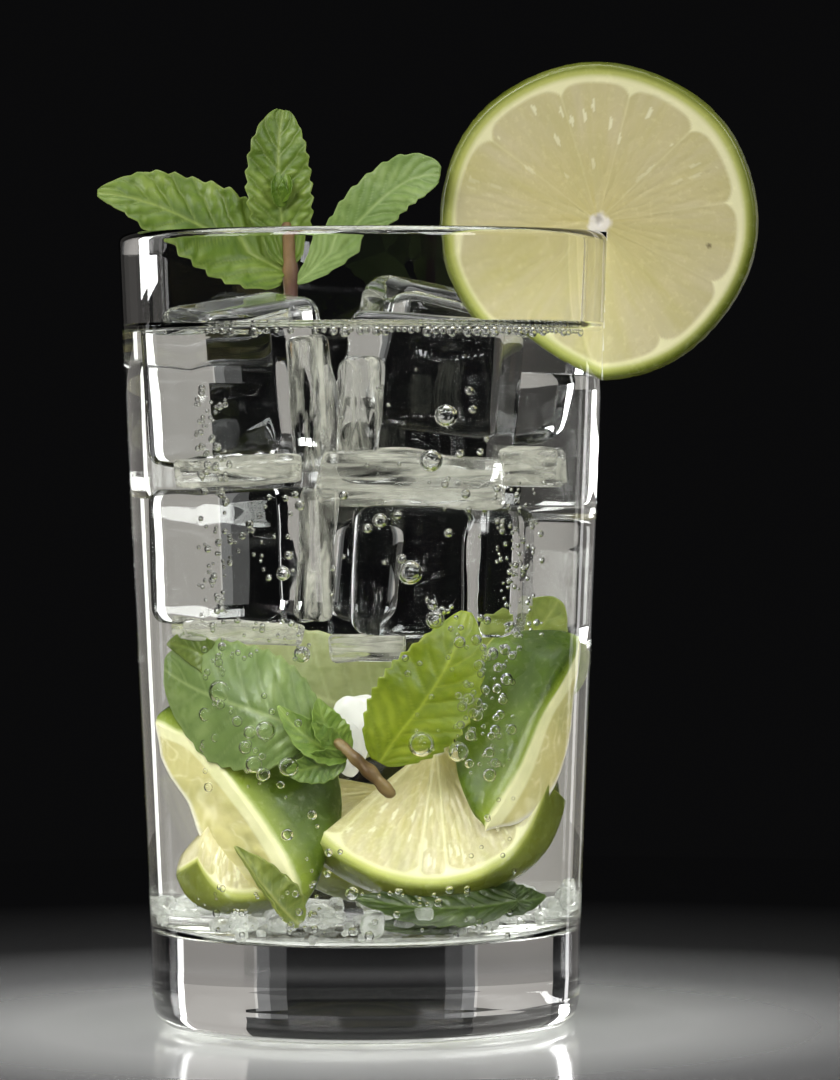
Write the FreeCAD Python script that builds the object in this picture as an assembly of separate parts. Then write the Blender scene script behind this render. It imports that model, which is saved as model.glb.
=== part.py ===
import FreeCAD, Part
import math
import os

# A tall mojito served in a clear straight tumbler: the glass, the drink it holds, the ice that breaks
# the surface, a lime wheel slit over the rim and a sprig of mint.
# Millimetres, +Z up. The origin is the middle of the glass's flat foot, on the glass's axis.
# -Y is the side that the lime wheel's cut face looks to, +X the side of the rim that carries the wheel.

V = FreeCAD.Vector

# ---- the glass ----
HEIGHT = 130.2          # foot to the top of the lip
RIM_R = 40.15           # outside radius just under the lip
FOOT_R = 31.2           # radius of the flat foot, inside its rounded corner
WALL = 3.1              # wall thickness over most of the height
LIP_ROUND = 1.55        # radius of the fire-polished lip
FLOOR_Z = 15.6          # top of the thick base, inside
FLOOR_FILLET = 5.0      # rounding between inner wall and inner floor
OUTER = [(35.3, 5.2), (35.6, 20.0), (36.4, 40.0), (37.45, 64.0), (38.5, 88.0), (39.4, 110.0), (RIM_R, HEIGHT - LIP_ROUND)]  # outside radius and height

# ---- the drink ----
LEVEL_Z = 114.2         # surface of the drink

# ---- the lime wheel ----
WHEEL_R = 26.2
WHEEL_T = 5.6           # thickness of the slice
WHEEL_BULGE = 0.7       # how far the rind stands out between the two cut faces
WHEEL_AT = (38.75, 0.0, 132.0)
WHEEL_YAW = -3.0        # turned a little towards -X, in degrees
WHEEL_PITCH = 3.0       # cut face leans a little upwards, in degrees
SEGMENTS = 10
PITH_W = 2.5            # rind and pith ring outside the segments
CORE_R = 1.9            # white core
MEMBRANE = 0.55         # wall between two segments
POCKET = 0.3            # pulp lies this far under the cut membranes
SLIT_W = 4.0            # slit that straddles the wall of the glass
SLIT_TOP = 1.35         # slit ends this far under the middle of the wheel

# ---- the mint sprig ----
STEM_R = 1.15
LEAF_T = 0.8            # thickness of a leaf at its midrib
STEM_LINE = [(-11.4, 3.4, 110.5), (-11.8, 3.0, 118.0), (-12.0, 2.4, 124.5), (-12.5, 1.8, 131.5)]

# ---- ice that breaks the surface: size, middle, turn about Z, X, Y ----
ICE = {
    "ice_left": ((20.5, 19.5, 26.0), (-18.7, -10.4, 105.8), (24.0, 5.0, -9.0), 2.6),
    "ice_front": ((22.6, 21.0, 27.5), (8.6, -12.6, 102.4), (-3.0, -2.0, 4.0), 2.8),
    "ice_back": ((22.0, 21.0, 24.0), (10.8, 18.6, 109.8), (19.0, 8.0, 10.0), 4.2),
}


def spline_edge(points):
    c = Part.BSplineCurve()
    c.interpolate([V(*p) for p in points])
    return c.toShape()


def rz(p):
    return (p[0], 0.0, p[1])


def inner_line():
    """Inner wall from just above the floor fillet to the lip, a wall thickness inside the outer wall."""
    out = []
    for r, z in OUTER:
        if z < FLOOR_Z + FLOOR_FILLET + 6:
            continue
        t = WALL + 0.25 * max(0.0, (88.0 - z) / 88.0)
        out.append((r - t, z))
    return [(out[0][0] - 0.62, FLOOR_Z + FLOOR_FILLET)] + out


def revolve(edges):
    face = Part.Face(Part.Wire(Part.__sortEdges__(edges)))
    return face.revolve(V(0, 0, 0), V(0, 0, 1), 360)


def inner_edges(floor_z, fillet):
    """Edges of the inside of the glass, from the axis to the lip, and the last point."""
    line = inner_line()
    r0, z0 = line[0]
    k = math.sqrt(0.5)
    corner = Part.Arc(V(r0 - fillet, 0, floor_z), V(r0 - fillet * (1 - k), 0, floor_z + fillet * (1 - k)), V(r0, 0, floor_z + fillet)).toShape()
    floor = Part.LineSegment(V(0, 0, floor_z), V(r0 - fillet, 0, floor_z)).toShape()
    wall = spline_edge([rz(p) for p in line])
    return [floor, corner, wall], line[-1]


def make_glass():
    inside, last = inner_edges(FLOOR_Z, FLOOR_FILLET)
    r_out, z_out = OUTER[0]
    foot = Part.LineSegment(V(0, 0, 0), V(FOOT_R, 0, 0)).toShape()
    w, h = r_out - FOOT_R, z_out
    corner = spline_edge([(FOOT_R, 0, 0), (FOOT_R + w * 0.52, 0, h * 0.13), (FOOT_R + w * 0.86, 0, h * 0.46), (r_out, 0, z_out)])
    wall = spline_edge([rz(p) for p in OUTER])
    top = OUTER[-1]
    mid = ((top[0] + last[0]) / 2 - 0.05, HEIGHT)
    lip = Part.Arc(V(top[0], 0, top[1]), V(mid[0], 0, mid[1]), V(last[0], 0, last[1])).toShape()
    axis = Part.LineSegment(V(0, 0, 0), V(0, 0, FLOOR_Z)).toShape()
    return revolve([foot, corner, wall, lip, axis] + inside)


def cavity(top_z):
    """The inside of the glass as a solid, cut flat at top_z."""
    inside, last = inner_edges(FLOOR_Z, FLOOR_FILLET)
    roof = Part.LineSegment(V(last[0], 0, last[1]), V(0, 0, last[1])).toShape()
    axis = Part.LineSegment(V(0, 0, last[1]), V(0, 0, FLOOR_Z)).toShape()
    whole = revolve(inside + [roof, axis])
    return whole.common(Part.makeBox(100, 100, top_z, V(-50, -50, 0)))


def turned(shape, z=0.0, x=0.0, y=0.0, to=(0, 0, 0)):
    s = shape.copy()
    s.rotate(V(0, 0, 0), V(0, 1, 0), y)
    s.rotate(V(0, 0, 0), V(1, 0, 0), x)
    s.rotate(V(0, 0, 0), V(0, 0, 1), z)
    s.translate(V(*to))
    return s


def segment_wire(k, y):
    """Outline of one pulp segment in the plane at y: a rounded wedge between two membranes."""
    step = 2 * math.pi / SEGMENTS
    mid = (k + 0.5) * step + 0.10 * math.sin(2.3 * k + 0.6)
    half = step * (0.5 - 0.03 * math.cos(1.7 * k))
    r_max = WHEEL_R - PITH_W - 0.35 * (1 + math.sin(3.1 * k))
    pts = []
    for i in range(13):
        u = -1 + i / 6.0
        r = r_max * (1 - 0.085 * abs(u) ** 3.0)
        a = mid + u * (half - MEMBRANE / 2 / r_max)
        pts.append(V(r * math.sin(a), y, r * math.cos(a)))
    pts.append(V((CORE_R + 0.9) * math.sin(mid + 0.35 * half), y, (CORE_R + 0.9) * math.cos(mid + 0.35 * half)))
    pts.append(V((CORE_R + 0.9) * math.sin(mid - 0.35 * half), y, (CORE_R + 0.9) * math.cos(mid - 0.35 * half)))
    return Part.makePolygon(pts + [pts[0]])


def make_wheel():
    t = WHEEL_T / 2
    edge = Part.Arc(V(WHEEL_R - WHEEL_BULGE, -t, 0), V(WHEEL_R, 0, 0), V(WHEEL_R - WHEEL_BULGE, t, 0)).toShape()
    lines = [
        Part.LineSegment(V(0, t, 0), V(0, -t, 0)).toShape(),
        Part.LineSegment(V(0, -t, 0), V(WHEEL_R - WHEEL_BULGE, -t, 0)).toShape(),
        Part.LineSegment(V(WHEEL_R - WHEEL_BULGE, t, 0), V(0, t, 0)).toShape(),
    ]
    face = Part.Face(Part.Wire(Part.__sortEdges__(lines + [edge])))
    disc = face.revolve(V(0, 0, 0), V(0, 1, 0), 360)
    pockets = []
    for k in range(SEGMENTS):
        for side in (-1, 1):
            y = side * t
            pockets.append(Part.Face(segment_wire(k, y - side * POCKET)).extrude(V(0, side * (POCKET + 1), 0)))
    disc = disc.cut(Part.makeCompound(pockets))
    slope = math.degrees(math.atan((RIM_R - OUTER[-3][0]) / (OUTER[-1][1] - OUTER[-3][1])))
    slit = Part.makeBox(SLIT_W, WHEEL_T + 4, 40, V(-SLIT_W / 2, -t - 2, -40))
    slit.rotate(V(0, 0, 0), V(0, 1, 0), slope)
    slit.translate(V(RIM_R - WALL / 2 - WHEEL_AT[0], 0, -SLIT_TOP))
    disc = disc.cut(slit)
    return turned(disc, z=WHEEL_YAW, x=WHEEL_PITCH, to=WHEEL_AT)


def bezier(points, t):
    """Point on the Bezier curve of these control points."""
    pts = [V(*p) for p in points]
    while len(pts) > 1:
        pts = [a * (1 - t) + b * t for a, b in zip(pts, pts[1:])]
    return pts[0]


def leaf_width(t, peak=0.42, sharp=0.86):
    """Half width of an ovate leaf at t, 1 at its widest."""
    a = sharp * peak / (1 - peak)
    top = peak ** a * (1 - peak) ** sharp
    return t ** a * (1 - t) ** sharp / top


def leaf_grid(spine, width, face, teeth=11, tooth=0.05, cup=0.16, wave=0.03, twist=0.0, nv=6, peak=0.42, sharp=0.86):
    """Rows of (point, normal) across a serrated, cupped leaf, from its stalk to its tip."""
    rows = []
    n = teeth * 2
    for i in range(n + 1):
        t = 0.02 + 0.965 * i / n
        p = bezier(spine, t)
        d = (bezier(spine, min(1.0, t + 0.01)) - bezier(spine, max(0.0, t - 0.01))).normalize()
        f = V(*face)
        side = d.cross(f).normalize()
        up = side.cross(d).normalize()
        a = math.radians(twist * (t - 0.3))
        side, up = side * math.cos(a) + up * math.sin(a), up * math.cos(a) - side * math.sin(a)
        w = width / 2 * leaf_width(t, peak, sharp) * (1 + (tooth if i % 2 else -tooth) * min(1.0, 6 * t * (1 - t)))
        row = []
        for j in range(nv + 1):
            v = -1 + 2.0 * j / nv
            lift = cup * width * (v * v) * leaf_width(t, peak, sharp) - cup * width * 0.35 * leaf_width(t, peak, sharp)
            lift += wave * width * math.sin(5.5 * t * math.pi + (1.3 if v > 0 else 0.0)) * abs(v) * leaf_width(t, peak, sharp)
            q = p + side * (w * v) + up * lift
            row.append((q, up, abs(v)))
        rows.append(row)
    return rows


def make_leaf(**kind):
    """A leaf as a closed solid of small flat facets: upper side, under side and a thin edge."""
    rows = leaf_grid(**kind)
    top = [[q + n * (LEAF_T / 2 * (1 - 0.45 * v)) for q, n, v in row] for row in rows]
    low = [[q - n * (LEAF_T / 2 * (1 - 0.45 * v)) for q, n, v in row] for row in rows]
    faces = []

    def quad(a, b, c, d):
        faces.append(Part.Face(Part.makePolygon([a, b, c, a])))
        faces.append(Part.Face(Part.makePolygon([a, c, d, a])))

    n, m = len(rows) - 1, len(rows[0]) - 1
    for i in range(n):
        for j in range(m):
            quad(top[i][j], top[i][j + 1], top[i + 1][j + 1], top[i + 1][j])
            quad(low[i][j], low[i + 1][j], low[i + 1][j + 1], low[i][j + 1])
        quad(top[i][0], top[i + 1][0], low[i + 1][0], low[i][0])
        quad(top[i][m], low[i][m], low[i + 1][m], top[i + 1][m])
    for j in range(m):
        quad(top[0][j], low[0][j], low[0][j + 1], top[0][j + 1])
        quad(top[n][j], top[n][j + 1], low[n][j + 1], low[n][j])
    shell = Part.makeShell(faces)
    shell.sewShape()
    solid = Part.Solid(shell if shell.ShapeType == "Shell" else shell.Shells[0])
    if solid.Volume < 0:
        solid.reverse()
    return solid


LEAVES = [
    # the long leaf that reaches out over the rim
    dict(spine=[(-12.2, 2.2, 123.8), (-24.2, -0.5, 129.9), (-33.0, -3.0, 137.0), (-43.8, -3.0, 136.8)], width=15.2, face=(-0.15, -0.85, 0.50), teeth=12, cup=0.10, twist=-10.0, peak=0.36, sharp=0.72),
    # the upright leaf
    dict(spine=[(-12.3, 2.2, 124.8), (-13.4, 0.8, 133.0), (-14.8, 1.2, 142.0), (-13.0, 3.4, 151.0)], width=10.8, face=(0.05, -1.0, 0.12), teeth=11, cup=0.15, twist=6.0, peak=0.50, sharp=0.54),
    # the paler leaf that leans towards the lime
    dict(spine=[(-11.3, 2.2, 121.9), (-2.0, -1.0, 128.6), (3.6, -4.5, 142.6), (13.0, -6.2, 140.5)], width=9.4, face=(-0.30, -0.90, 0.15), teeth=11, cup=0.10, twist=8.0, peak=0.62, sharp=0.46),
]


def make_bud():
    """The small bud where the upright leaf leaves the sprig."""
    bud = Part.makeSphere(1.25)
    m = FreeCAD.Matrix()
    m.scale(1.0, 0.9, 1.75)
    bud = bud.transformGeometry(m)
    return turned(bud, x=8.0, to=(-13.6, 1.0, 137.6))


def make_sprig():
    shape = None
    for a, b in zip(STEM_LINE, STEM_LINE[1:]):
        d = V(*b) - V(*a)
        rod = Part.makeCylinder(STEM_R, d.Length, V(*a), d)
        shape = rod if shape is None else shape.fuse(rod)
    for p in STEM_LINE[1:]:
        shape = shape.fuse(Part.makeSphere(STEM_R * (1.0 if p != STEM_LINE[1] else 1.25), V(*p)))
    for kind in LEAVES:
        leaf = make_leaf(**kind)
        stalk0, stalk1 = bezier(kind["spine"], 0.0), bezier(kind["spine"], 0.06)
        d = stalk1 - stalk0
        stalk = Part.makeCone(0.75, 0.55, d.Length + 1.5, stalk0 - d * 0.3, d)
        shape = shape.fuse(stalk).fuse(leaf)
    shape = shape.fuse(make_bud())
    return shape


def make_ice(size, at, turn, edge):
    x, y, z = size
    box = Part.makeBox(x, y, z, V(-x / 2, -y / 2, -z / 2))
    box = box.makeFillet(edge, box.Edges)
    return turned(box, z=turn[0], x=turn[1], y=turn[2], to=at)


def single(shape, name):
    solids = [s for s in shape.Solids if s.Volume > 0.5]
    solids.sort(key=lambda s: -s.Volume)
    print(name, "solids", [round(s.Volume, 1) for s in solids], "valid", shape.isValid())
    return solids[0]


def main():
    os.makedirs("parts", exist_ok=True)
    nodes = {}
    nodes["glass"] = single(make_glass(), "glass")
    nodes["lime_wheel"] = single(make_wheel(), "lime_wheel")
    nodes["mint_sprig"] = single(make_sprig(), "mint_sprig")
    for name, (size, at, turn, edge) in ICE.items():
        nodes[name] = single(make_ice(size, at, turn, edge), name)
    drink = cavity(LEVEL_Z)
    for name in ("lime_wheel", "mint_sprig", "ice_left", "ice_front", "ice_back"):
        drink = drink.cut(nodes[name])
    nodes["drink"] = single(drink, "drink")
    for name, shape in nodes.items():
        b = shape.BoundBox
        print(f"{name:12s} vol {shape.Volume/1000:8.2f} cm3  x {b.XMin:7.2f} {b.XMax:7.2f}  y {b.YMin:7.2f} {b.YMax:7.2f}  z {b.ZMin:7.2f} {b.ZMax:7.2f}  faces {len(shape.Faces)}")
        shape.exportStep(f"parts/{name}.step")
    names = list(nodes)
    for i, a in enumerate(names):
        for b in names[i + 1:]:
            v = nodes[a].common(nodes[b]).Volume
            if v > 0.01:
                print("overlap", a, b, round(v, 2))


main()
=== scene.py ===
import math

import bpy
import bmesh
import numpy as np
from mathutils import Euler, Matrix, Vector


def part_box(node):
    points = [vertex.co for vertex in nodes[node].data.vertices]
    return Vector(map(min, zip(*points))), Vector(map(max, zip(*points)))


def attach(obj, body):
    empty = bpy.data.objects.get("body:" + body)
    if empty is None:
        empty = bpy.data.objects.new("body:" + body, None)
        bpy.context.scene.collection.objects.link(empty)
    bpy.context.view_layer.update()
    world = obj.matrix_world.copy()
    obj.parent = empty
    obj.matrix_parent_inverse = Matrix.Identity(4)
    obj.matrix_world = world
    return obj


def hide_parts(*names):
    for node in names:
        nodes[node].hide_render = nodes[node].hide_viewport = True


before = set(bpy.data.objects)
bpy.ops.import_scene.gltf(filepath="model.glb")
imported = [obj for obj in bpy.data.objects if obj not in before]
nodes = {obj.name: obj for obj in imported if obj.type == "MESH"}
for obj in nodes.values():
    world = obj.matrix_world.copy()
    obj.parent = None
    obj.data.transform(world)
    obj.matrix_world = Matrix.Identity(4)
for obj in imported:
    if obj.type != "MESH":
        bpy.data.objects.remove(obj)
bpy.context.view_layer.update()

MM = 0.001
scene = bpy.context.scene

# ------------------------------------------------------------------ measures, in mm
HEIGHT = 130.2
RIM_R = 40.15
FOOT_R = 31.2
WALL = 3.1
LIP = 1.55
FLOOR_Z = 15.6
FILLET = 5.0
OUTER = [(35.3, 5.2), (35.6, 20.0), (36.4, 40.0), (37.45, 64.0), (38.5, 88.0), (39.4, 110.0), (RIM_R, HEIGHT - LIP)]
LEVEL = 114.2
WHEEL_R, WHEEL_T = 26.2, 5.6
lo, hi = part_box("lime_wheel")
WHEEL_AT = (38.75, (lo[1] + hi[1]) / 2 / MM, 132.0)


# ------------------------------------------------------------------ helpers
def smooth_line(points, n):
    """Catmull-Rom line through points, n samples a span."""
    p = np.array([2 * np.array(points[0]) - np.array(points[1])] + [np.array(q) for q in points] + [2 * np.array(points[-1]) - np.array(points[-2])], float)
    out = []
    for i in range(1, len(p) - 2):
        for k in range(n):
            t = k / n
            a, b, c, d = p[i - 1], p[i], p[i + 1], p[i + 2]
            out.append(0.5 * ((2 * b) + (-a + c) * t + (2 * a - 5 * b + 4 * c - d) * t * t + (-a + 3 * b - 3 * c + d) * t ** 3))
    out.append(p[-2])
    return [tuple(q) for q in out]


def build(name, verts, faces, mat=None, smooth=True, colour=None, extra=None):
    """A mesh object from points in mm. colour: RGB for each point, kept as a colour attribute."""
    me = bpy.data.meshes.new(name)
    me.from_pydata([tuple(np.asarray(v, float) * MM) for v in verts], [], [tuple(int(i) for i in f) for f in faces])
    me.validate()
    if colour is not None:
        a = me.color_attributes.new("tint", "FLOAT_COLOR", "POINT")
        c = np.ones((len(verts), 4), np.float32)
        c[:, :3] = colour
        a.data.foreach_set("color", c.ravel())
    if extra is not None:
        a = me.attributes.new("part", "FLOAT", "POINT")
        a.data.foreach_set("value", np.asarray(extra, np.float32))
    me.polygons.foreach_set("use_smooth", [smooth] * len(me.polygons))
    me.update()
    o = bpy.data.objects.new(name, me)
    scene.collection.objects.link(o)
    if mat:
        me.materials.append(mat)
    return o


def revolve(profile, n, closed=False):
    """Points and faces of a profile of (r, z) turned about Z. Points with r = 0 are one point."""
    verts, faces, rows = [], [], []
    for r, z in profile:
        if r < 1e-6:
            rows.append([len(verts)] * n)
            verts.append((0, 0, z))
        else:
            rows.append(list(range(len(verts), len(verts) + n)))
            for k in range(n):
                a = 2 * math.pi * k / n
                verts.append((r * math.cos(a), r * math.sin(a), z))
    pairs = list(zip(rows, rows[1:])) + ([(rows[-1], rows[0])] if closed else [])
    for a, b in pairs:
        for k in range(n):
            j = (k + 1) % n
            f = [a[k], a[j], b[j], b[k]]
            g = []
            for i in f:
                if i not in g:
                    g.append(i)
            if len(g) > 2:
                faces.append(g)
    return verts, faces


def fix_normals(o):
    bm = bmesh.new()
    bm.from_mesh(o.data)
    bmesh.ops.recalc_face_normals(bm, faces=bm.faces)
    bm.to_mesh(o.data)
    bm.free()


def noise3(p, scale, seed=0.0):
    """Smooth value noise from -1 to 1 for an array of points, the same each run."""
    q = np.asarray(p, float) / scale + np.array([17.3 + seed * 3.1, 5.7 + seed * 7.7, 9.1 + seed * 1.3])
    i = np.floor(q).astype(np.int64)
    f = q - i
    f = f * f * (3 - 2 * f)

    def h(ix, iy, iz):
        n = (ix * 374761393 + iy * 668265263 + iz * 2147483647 + int(seed * 977) * 1274126177) & 0xFFFFFFFF
        n = ((n ^ (n >> 13)) * 1274126177) & 0xFFFFFFFF
        return ((n ^ (n >> 16)) & 0xFFFF) / 32767.5 - 1

    v = 0
    for dx in (0, 1):
        for dy in (0, 1):
            for dz in (0, 1):
                w = (f[..., 0] if dx else 1 - f[..., 0]) * (f[..., 1] if dy else 1 - f[..., 1]) * (f[..., 2] if dz else 1 - f[..., 2])
                v = v + w * h(i[..., 0] + dx, i[..., 1] + dy, i[..., 2] + dz)
    return v


def srgb(r, g, b):
    def f(c):
        c /= 255
        return c / 12.92 if c <= 0.04045 else ((c + 0.055) / 1.055) ** 2.4
    return (f(r), f(g), f(b))


# ------------------------------------------------------------------ camera
EYE = Vector((0.0, -0.895, 0.1005))
LENS = 181.2
cam_data = bpy.data.cameras.new("camera")
cam_data.lens = LENS
cam_data.sensor_width = 36.0
cam_data.clip_start = 0.05
cam_data.clip_end = 20.0
cam = bpy.data.objects.new("camera", cam_data)
scene.collection.objects.link(cam)
cam.matrix_world = Matrix.Translation(EYE) @ Matrix.Rotation(math.radians(-0.59), 4, "Z") @ Matrix.Rotation(math.radians(90 - 1.33), 4, "X") @ Matrix.Rotation(math.radians(-0.25), 4, "Z")
scene.camera = cam
FOCAL = LENS / 36.0 * 1080
CAM3 = cam.matrix_world.to_3x3()


def radius_in(z):
    """Inner radius of the glass at height z."""
    pts = OUTER
    for (r0, z0), (r1, z1) in zip(pts, pts[1:]):
        if z <= z1:
            return r0 + (r1 - r0) * (z - z0) / (z1 - z0) - WALL
    return RIM_R - WALL


def seen(px, py, y, wet=True):
    """The place at depth y (mm) that shows at (px, py) of an 840 x 1080 view, bent by glass and drink."""
    d = CAM3 @ Vector(((px - 420) / FOCAL, (540 - py) / FOCAL, -1.0))
    o = np.array([EYE.x, EYE.y, EYE.z]) / MM
    d = np.array([d.x, d.y, d.z])
    t = (y - o[1]) / d[1]
    p = o + d * t
    if not wet:
        return tuple(p)
    z = p[2]
    ri = radius_in(min(max(z, 20), 128))
    ro = ri + WALL
    h = np.array([d[0], d[1]]) / math.hypot(d[0], d[1])
    q = np.array([o[0], o[1]])

    def hit(q, h, r):
        b = q @ h
        c = q @ q - r * r
        k = b * b - c
        return None if k < 0 else q + h * (-b - math.sqrt(k))

    def bend(q, h, eta):
        n = q / np.linalg.norm(q)
        c = -(n @ h)
        k = 1 - eta * eta * (1 - c * c)
        return h * eta + n * (eta * c - math.sqrt(max(k, 0)))

    a = hit(q, h, ro)
    if a is None:
        return tuple(p)
    h = bend(a, h, 1 / 1.5)
    b = hit(a, h, ri)
    if b is None:
        return tuple(p)
    h = bend(b, h, 1.5 / 1.333)
    s = (y - b[1]) / h[1]
    x = b[0] + h[0] * s
    slope = d[2] / math.hypot(d[0], d[1])
    s0 = np.linalg.norm(a - q)
    z = o[2] + slope * s0 + slope / 1.5 * np.linalg.norm(b - a) + slope / 1.333 * s
    return (x, y, z)


# ------------------------------------------------------------------ materials
class Nodes:
    def __init__(self, name):
        self.mat = bpy.data.materials.new(name)
        self.mat.use_nodes = True
        self.nt = self.mat.node_tree
        self.nt.nodes.clear()
        self.out = self.nt.nodes.new("ShaderNodeOutputMaterial")

    def add(self, kind, **values):
        n = self.nt.nodes.new("ShaderNode" + kind)
        for k, v in values.items():
            if k[0] == "_":
                setattr(n, k[1:], v)
            else:
                key = k.replace("__", " ")
                self.put(n, key, v)
        return n

    def put(self, n, key, v):
        s = n.inputs[int(key[1:])] if key[0] == "i" and key[1:].isdigit() else n.inputs[key]
        if isinstance(v, bpy.types.NodeSocket):
            self.nt.links.new(v, s)
        elif isinstance(v, tuple) and len(v) == 3 and s.type == "RGBA":
            s.default_value = (*v, 1.0)
        else:
            s.default_value = v

    def link(self, a, b):
        self.nt.links.new(a, b)

    def ramp(self, fac, stops):
        n = self.nt.nodes.new("ShaderNodeValToRGB")
        self.nt.links.new(fac, n.inputs[0])
        e = n.color_ramp.elements
        while len(e) < len(stops):
            e.new(0.5)
        for i, (p, c) in enumerate(stops):
            e[i].position = p
            e[i].color = (*c, 1.0) if len(c) == 3 else c
        return n.outputs[0]

    def mix(self, fac, a, b, mode="MIX"):
        n = self.nt.nodes.new("ShaderNodeMix")
        n.data_type = "RGBA"
        n.blend_type = mode
        for s, v in ((n.inputs[0], fac), (n.inputs[6], a), (n.inputs[7], b)):
            if isinstance(v, bpy.types.NodeSocket):
                self.nt.links.new(v, s)
            elif isinstance(v, tuple):
                s.default_value = (*v, 1.0)
            else:
                s.default_value = v
        return n.outputs[2]

    def noise(self, scale, detail=3.0, coord=None, rough=0.5, dist=0.0):
        c = coord if coord is not None else self.add("TexCoord").outputs["Object"]
        n = self.add("TexNoise", Vector=c, Scale=scale, Detail=detail, Roughness=rough, Distortion=dist)
        return n.outputs["Fac"]


def clear(name, ior, tint=(1, 1, 1), rough=0.0, bump=0.0, bump_scale=60.0, shadow=(0.97, 0.97, 0.97), smear=0.0):
    """Clear glass, ice or drink. Lamps shine through it, tinted by shadow."""
    m = Nodes(name)
    if ior >= 1.0:
        p = m.add("BsdfPrincipled", Base__Color=tint, Roughness=rough, IOR=ior, Transmission__Weight=1.0)
    else:
        p = m.add("BsdfGlass", Color=tint, Roughness=rough, IOR=ior)
    if bump:
        b = m.add("Bump", Strength=bump, Distance=0.0004, Height=m.noise(bump_scale, 2.0))
        m.link(b.outputs[0], p.inputs["Normal"])
    if smear:
        r = m.add("MapRange", Value=m.noise(45.0, 4.0), i1=0.45, i2=0.75, i3=rough, i4=smear)
        m.link(r.outputs[0], p.inputs["Roughness"])
    t = m.add("BsdfTransparent", Color=shadow)
    lp = m.add("LightPath")
    x = m.add("MixShader")
    m.link(lp.outputs["Is Shadow Ray"], x.inputs[0])
    m.link(p.outputs[0], x.inputs[1])
    m.link(t.outputs[0], x.inputs[2])
    m.link(x.outputs[0], m.out.inputs[0])
    return m.mat


def fruit(name, through=0.35, rough=0.3, bump=0.25, coat=0.3, spot=6.0, colour_noise=0.12):
    """Wet cut lime: colour from the point colours with fine variation, some light comes through."""
    m = Nodes(name)
    tc = m.add("TexCoord").outputs["Object"]
    a = m.add("VertexColor", _layer_name="tint").outputs["Color"]
    n1 = m.noise(900.0, 3.0, tc)
    n2 = m.noise(160.0, 2.0, tc)
    dark = m.mix(1.0, a, (1 - colour_noise * 1.6, 1 - colour_noise * 1.4, 1 - colour_noise * 2.2), "MULTIPLY")
    c = m.mix(m.ramp(n2, [(0.35, (0, 0, 0)), (0.7, (1, 1, 1))]), a, dark)
    light = m.mix(1.0, c, (0.10, 0.10, 0.07), "ADD")
    c = m.mix(m.ramp(n1, [(0.56, (0, 0, 0)), (0.78, (0.7, 0.7, 0.7))]), c, light)
    p = m.add("BsdfPrincipled", Base__Color=c, Roughness=rough, Coat__Weight=coat, Coat__Roughness=0.12)
    b = m.add("Bump", Strength=bump, Distance=0.0003, Height=m.noise(1400.0, 3.0, tc))
    m.link(b.outputs[0], p.inputs["Normal"])
    r = m.add("MapRange", Value=n2, i1=0.3, i2=0.7, i3=rough - 0.08, i4=rough + 0.1)
    m.link(r.outputs[0], p.inputs["Roughness"])
    t = m.add("BsdfTranslucent", Color=c)
    x = m.add("MixShader", Fac=through)
    m.link(p.outputs[0], x.inputs[1])
    m.link(t.outputs[0], x.inputs[2])
    m.link(x.outputs[0], m.out.inputs[0])
    return m.mat


def leaf_material(name, through=0.4, rough=0.42, coat=0.0, gain=1.0):
    """Mint leaf: point colours carry the veins and puckers, fine noise the skin."""
    m = Nodes(name)
    tc = m.add("TexCoord").outputs["Object"]
    a = m.add("VertexColor", _layer_name="tint").outputs["Color"]
    n1 = m.noise(700.0, 4.0, tc)
    n2 = m.noise(120.0, 2.0, tc)
    dark = m.mix(1.0, a, (0.78, 0.84, 0.66), "MULTIPLY")
    c = m.mix(m.ramp(n2, [(0.35, (0, 0, 0)), (0.7, (1, 1, 1))]), a, dark)
    dark2 = m.mix(1.0, c, (0.72, 0.78, 0.6), "MULTIPLY")
    c = m.mix(m.ramp(n1, [(0.5, (0, 0, 0)), (0.75, (0.8, 0.8, 0.8))]), c, dark2)
    p = m.add("BsdfPrincipled", Base__Color=c, Roughness=rough, Coat__Weight=coat, Coat__Roughness=0.1)
    b = m.add("Bump", Strength=0.35, Distance=0.0003, Height=n1)
    m.link(b.outputs[0], p.inputs["Normal"])
    r = m.add("MapRange", Value=n2, i1=0.3, i2=0.7, i3=rough - 0.08, i4=rough + 0.12)
    m.link(r.outputs[0], p.inputs["Roughness"])
    glow = m.mix(1.0, c, (1.25 * gain, 1.2 * gain, 0.7 * gain), "MULTIPLY")
    t = m.add("BsdfTranslucent", Color=glow)
    x = m.add("MixShader", Fac=through)
    m.link(p.outputs[0], x.inputs[1])
    m.link(t.outputs[0], x.inputs[2])
    m.link(x.outputs[0], m.out.inputs[0])
    return m.mat


MAT = {
    "glass": clear("glass_clear", 1.5, tint=(0.985, 0.99, 0.985), bump=0.05, bump_scale=30.0, shadow=(0.93, 0.94, 0.93)),
    "drink": clear("drink_clear", 1.333, tint=(0.99, 0.995, 0.97), bump=0.0, shadow=(0.97, 0.98, 0.95)),
    "ice": clear("ice_clear", 1.13, tint=(0.99, 0.995, 1.0), bump=0.12, bump_scale=140.0, shadow=(0.98, 0.98, 0.98)),
    "bubble": clear("bubble_air", 0.75, tint=(1, 1, 1), shadow=(0.97, 0.97, 0.97)),
    "lime": fruit("lime_flesh", through=0.42, colour_noise=0.04, bump=0.18),
    "wedge": fruit("lime_wedge", through=0.38, rough=0.28, coat=0.5),
    "leaf": leaf_material("mint_leaf", through=0.35),
    "leaf_wet": leaf_material("mint_wet", through=0.45, rough=0.35, coat=0.2, gain=1.15),
}


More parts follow.
